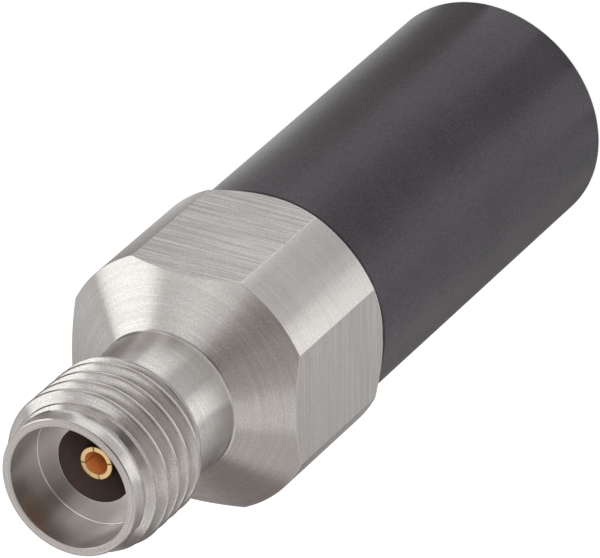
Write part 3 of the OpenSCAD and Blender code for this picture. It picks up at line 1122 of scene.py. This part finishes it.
WALL_CARDS = (
    Card((-200, -118), (-5, 40), 0.28, (40, 16)),
    Card((-118, -48), (5, 56), 0.60, (30, 12)),
    Card((-112, -48), (56, 90), 0.50, (20, 12)),
    Card((-88, 32), (-5, 25), 0.85, (20, 8)),
    Card((-124, -88), (-2, 20), 1.05, (14, 6)),
    Card((-48, 17), (27, 90), 0.50, (8, 8)),
    Card((17, 92), (27, 80), 1.00, (44, 8)),
    Card((52, 84), (44, 80), 1.10, (14, 8)),
    Card((-48, 30), (64, 90), 0.36, (12, 8)),
    Card((92, 131), (2, 52), 1.28, (6, 10)),
    Card((40, 72), (26, 44), 0.48, (14, 8)),
    Card((-46, 40), (24, 50), 0.27, (14, 8)),
    Card((-20, 14), (28, 53), 0.02, (14, 4)),
    Card((131, 166), (-5, 28), 0.80, (12, 20)),
    Card((166, 200), (-5, 28), 0.40, (12, 20)),
    Card((131, 200), (28, 64), 0.62, (12, 14)),
)


WHITE = (1.0, 1.0, 1.0, 1.0)
WARM = (1.0, 0.84, 0.8, 1.0)
BLACK = (0.0, 0.0, 0.0, 1.0)
PAPER = (0.8, 0.8, 0.8, 1.0)


def window(graph, value, borders, soft):
    """1 between two borders and 0 outside them, with a soft change of a given width."""
    low, high = borders
    rise = graph.remap(value, low - soft / 2, low + soft / 2, 0.0, 1.0)
    fall = graph.remap(value, high - soft / 2, high + soft / 2, 1.0, 0.0)
    return graph.math("MULTIPLY", rise, fall)


def side_angle(graph, x, y, look):
    """Angle of a place round the axis from the camera's side, between minus and plus pi."""
    around = graph.math("SUBTRACT", graph.math("ARCTAN2", y, x), camera_side(look))
    place = graph.math("FRACT", graph.math("ADD", graph.math("DIVIDE", around, TAU), 0.5))
    return graph.math("MULTIPLY", graph.math("SUBTRACT", place, 0.5), TAU)


MIRROR_ROUNDS = 3


def mirrored_side(graph, side, distance, radius):
    """Direction in which a round side of a given radius mirrors a place on the floor.

    Each round comes closer to it.
    """
    ratio = graph.math("MINIMUM", graph.math("DIVIDE", radius, distance), 1.0)
    mirrored = side
    for _ in range(MIRROR_ROUNDS):
        half = graph.math("SINE", graph.math("MULTIPLY", mirrored, 0.5))
        bend = graph.math("ARCSINE", graph.math("MULTIPLY", half, ratio))
        mirrored = graph.math("ADD", side, bend)
    return mirrored


def surround_shade(graph, side, reach, ground, cards):
    """Brightness of the surround: an even ground with cards laid over it."""
    side = graph.math("DEGREES", side)
    shade = ground
    for card in cards:
        cover = graph.math("MULTIPLY", window(graph, side, card.sides, card.soft[0]),
                           window(graph, reach, card.reach, card.soft[1]))
        shade = graph.mix(cover, shade, card.level)
    return shade


def backdrop_colour(graph, shade, cool):
    """White for the camera and the surround's own shade for the metal, and the rays it is for.

    The darker a place is, the warmer is its colour, up to the shade 1 / cool, where it is white.
    """
    rays = graph.node("ShaderNodeLightPath").outputs
    reflected = graph.math("MAXIMUM", rays["Is Glossy Ray"], rays["Is Transmission Ray"])
    seen = graph.math("MAXIMUM", rays["Is Camera Ray"], reflected)
    tint = graph.mix_colour(graph.math("MULTIPLY", shade, cool), WARM, WHITE)
    return graph.mix_colour(reflected, WHITE, graph.scale_colour(tint, shade)), seen


def floor_finish(look):
    """Pale paper, clear from below. Seen rays get the white backdrop, which keeps the shadow."""
    material = bpy.data.materials.new("pale_floor")
    graph = fresh_graph(material)
    x, y, _ = graph.split(graph.node("ShaderNodeTexCoord").outputs["Object"])
    distance = graph.math("DIVIDE", graph.radius(x, y), MM)
    side = mirrored_side(graph, side_angle(graph, x, y, look), distance,
                         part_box("sleeve")[1].x / MM)
    shade = surround_shade(graph, side, distance, FLOOR_GROUND, FLOOR_CARDS)
    tone, seen = backdrop_colour(graph, shade, look.floor_cool)
    paper = graph.node("ShaderNodeBsdfDiffuse", {0: PAPER}).outputs[0]
    lit = graph.node("ShaderNodeBsdfDiffuse", {
        0: graph.mix_colour(look.floor_lit, BLACK, tone)}).outputs[0]
    glow = graph.node("ShaderNodeEmission", {
        "Color": tone, "Strength": look.floor_glow}).outputs[0]
    backdrop = graph.node("ShaderNodeAddShader", {0: glow, 1: lit}).outputs[0]
    mixed = graph.node("ShaderNodeMixShader", {0: seen, 1: paper, 2: backdrop}).outputs[0]
    clear = graph.node("ShaderNodeBsdfTransparent").outputs[0]
    below = graph.node("ShaderNodeNewGeometry").outputs["Backfacing"]
    both = graph.node("ShaderNodeMixShader", {0: below, 1: mixed, 2: clear}).outputs[0]
    graph.node("ShaderNodeOutputMaterial", {0: both})
    return material


def studio_world(scene, look):
    """Even light from all sides, a white backdrop for the camera and cards for the metal."""
    world = bpy.data.worlds.new("studio")
    graph = fresh_graph(world)
    x, y, z = graph.split(graph.node("ShaderNodeTexCoord").outputs["Generated"])
    height = graph.math("DEGREES", graph.math("ARCSINE", z))
    shade = surround_shade(graph, side_angle(graph, x, y, look), height, WALL_GROUND, WALL_CARDS)
    tone, seen = backdrop_colour(graph, shade, look.wall_cool)
    plain = graph.node("ShaderNodeBackground", {
        "Color": WHITE, "Strength": look.plain_light}).outputs[0]
    backdrop = graph.node("ShaderNodeBackground", {"Color": tone, "Strength": 1.0}).outputs[0]
    mixed = graph.node("ShaderNodeMixShader", {0: seen, 1: plain, 2: backdrop}).outputs[0]
    graph.node("ShaderNodeOutputWorld", {0: mixed})
    scene.world = world


# A square lamp: its direction from the part, in degrees from the camera's side and above the
# horizon, its size in metres and whether the metal mirrors it.
Lamp = namedtuple("Lamp", "name side height size mirrored")
LAMPS = (
    Lamp("key", 113, 22, 0.28, True),
    Lamp("fill", -85, 42, 0.2, True),
    Lamp("back", 180, 50, 0.2, True),
    Lamp("front", 0, 52, 0.1, False),
)


def soft_lamp(look, lamp):
    """Adds a lamp that faces the middle of the part."""
    light = bpy.data.lights.new(lamp.name + "_lamp", "AREA")
    light.shape = "SQUARE"
    light.size = lamp.size
    light.energy = getattr(look, lamp.name + "_light")
    side, height = camera_side(look) + math.radians(lamp.side), math.radians(lamp.height)
    towards = Vector((math.cos(side) * math.cos(height), math.sin(side) * math.cos(height),
                      math.sin(height)))
    holder = bpy.data.objects.new(light.name, light)
    holder.location = Vector((0, 0, TOP / 2)) + towards * look.lamp_distance
    holder.rotation_mode = "QUATERNION"
    holder.rotation_quaternion = towards.to_track_quat("Z", "Y")
    holder.visible_glossy = lamp.mirrored
    bpy.context.scene.collection.objects.link(holder)


SENSOR_MM = 36.0
NEAREST, FARTHEST = 0.01, 10.0


class TERMINATION_OT_stage(bpy.types.Operator):
    """Set up the floor, the lamps, the surround and the camera"""
    bl_idname = "termination.stage"
    bl_label = "Studio"

    def execute(self, context):
        scene, look = context.scene, context.scene.termination_stage
        scene.view_settings.view_transform = "Standard"
        half = look.floor_size / 2
        sheet = bpy.data.meshes.new("floor")
        level = -look.floor_drop
        sheet.from_pydata([(-half, -half, level), (half, -half, level), (half, half, level),
                           (-half, half, level)], [], [(0, 1, 2, 3)])
        floor = bpy.data.objects.new("floor", sheet)
        floor.data.materials.append(floor_finish(look))
        scene.collection.objects.link(floor)
        studio_world(scene, look)
        for lamp in LAMPS:
            soft_lamp(look, lamp)
        lens = bpy.data.cameras.new("camera")
        lens.sensor_width, lens.lens = SENSOR_MM, look.lens
        lens.clip_start, lens.clip_end = NEAREST, FARTHEST
        camera = bpy.data.objects.new("camera", lens)
        forward = Vector(look.camera_view).normalized()
        right = forward.cross(Vector(look.camera_up)).normalized()
        turned = Matrix((right, right.cross(forward), -forward)).transposed().to_4x4()
        camera.matrix_world = Matrix.Translation(look.camera_place) @ turned
        scene.collection.objects.link(camera)
        scene.camera = camera
        return {"FINISHED"}


OPERATORS = (TERMINATION_OT_stage, TERMINATION_OT_body, TERMINATION_OT_contact,
             TERMINATION_OT_sleeve, TERMINATION_OT_inner_parts)


class TERMINATION_PT_sidebar(bpy.types.Panel):
    """Lists the groups of pieces, the studio and all their settings"""
    bl_idname = "TERMINATION_PT_sidebar"
    bl_label = "Mismatch termination"
    bl_space_type = "VIEW_3D"
    bl_region_type = "UI"
    bl_category = "Termination"

    def draw(self, context):
        for operator in OPERATORS:
            self.layout.operator(operator.bl_idname)
        for name, group in GROUPS.items():
            box = self.layout.box()
            box.label(text=group.__doc__)
            for prop in group.__annotations__:
                box.prop(getattr(context.scene, name), prop)


CLASSES = (*GROUPS.values(), *OPERATORS, TERMINATION_PT_sidebar)


def register():
    for cls in CLASSES:
        bpy.utils.register_class(cls)
    for name, group in GROUPS.items():
        setattr(bpy.types.Scene, name, PointerProperty(type=group))


def unregister():
    for name in GROUPS:
        delattr(bpy.types.Scene, name)
    for cls in reversed(CLASSES):
        bpy.utils.unregister_class(cls)


def main():
    """Builds everything."""
    register()
    bpy.ops.termination.stage()
    bpy.ops.termination.body()
    bpy.ops.termination.contact()
    bpy.ops.termination.sleeve()
    bpy.ops.termination.inner_parts()


if __name__ == "__main__":
    main()
